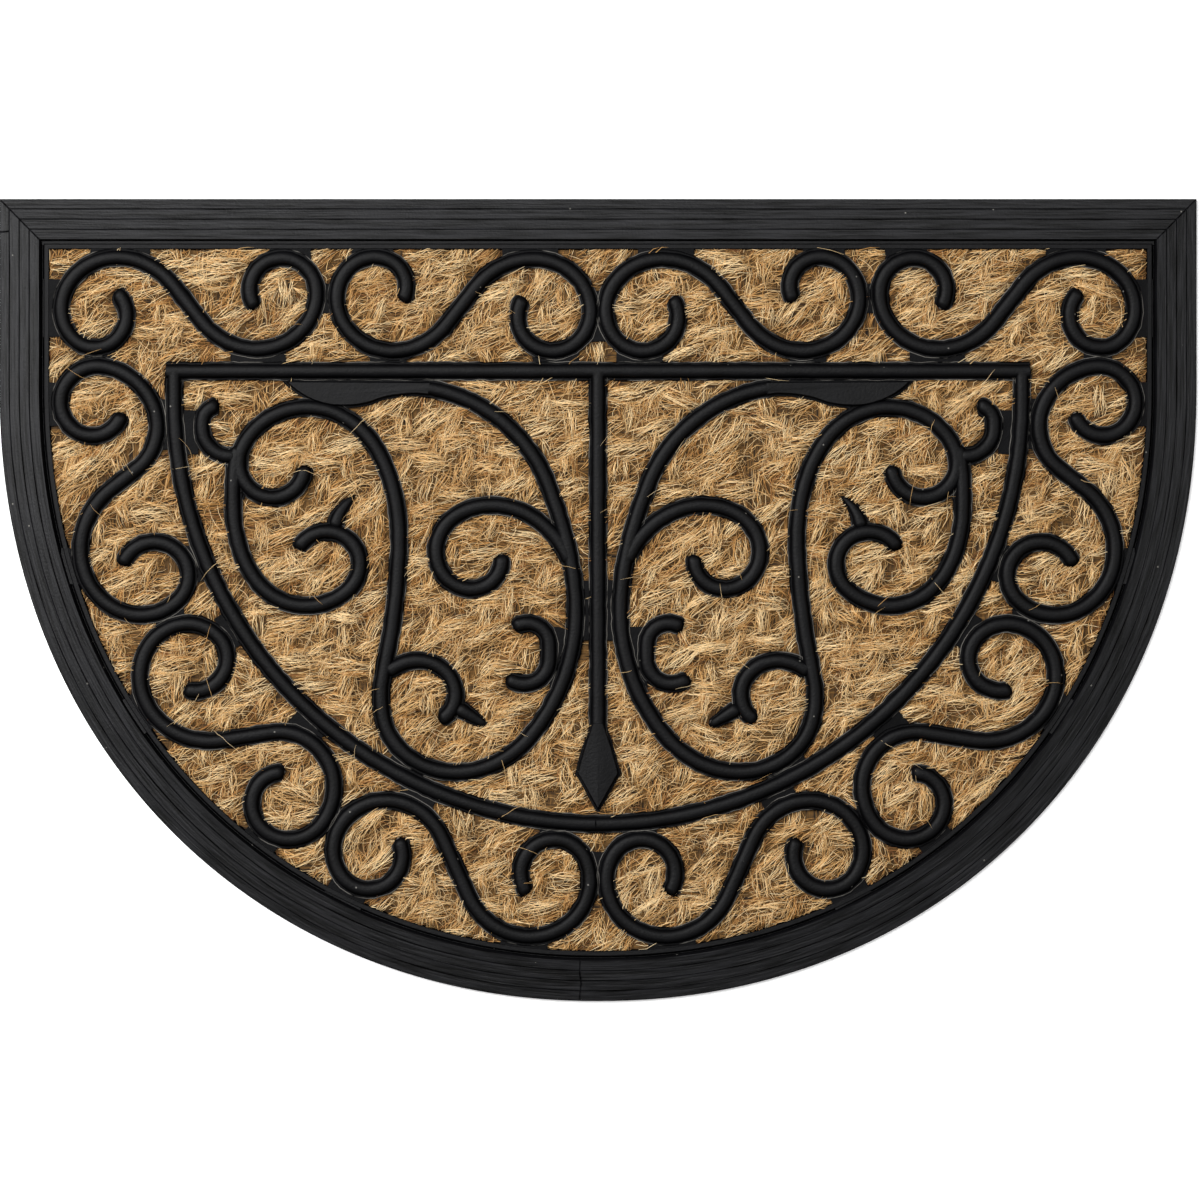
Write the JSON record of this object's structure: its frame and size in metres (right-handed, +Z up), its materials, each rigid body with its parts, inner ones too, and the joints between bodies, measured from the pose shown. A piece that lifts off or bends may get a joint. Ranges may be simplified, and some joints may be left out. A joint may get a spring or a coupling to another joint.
{
  "type": "half round doormat",
  "caption": "Half round doormat: a woven coir panel held in a one-piece rubber moulding with a ramped, grooved rim and an openwork of scrolls over the coir.",
  "frame": {"origin": "on the floor, under the middle of the mat's length and depth", "axes": "+X along the straight edge, +Y towards the straight edge, +Z up"},
  "size_m": [0.6, 0.402, 0.01],
  "materials": {
    "rubber": "matt black moulded rubber with a fine mould grain and a little dust",
    "coir": "coarse plain weave of hairy coir yarn, straw to brown"
  },
  "bodies": {
    "root": {"rubber_moulding": "rubber", "coir_panel": "coir"}
  },
  "joints": []
}
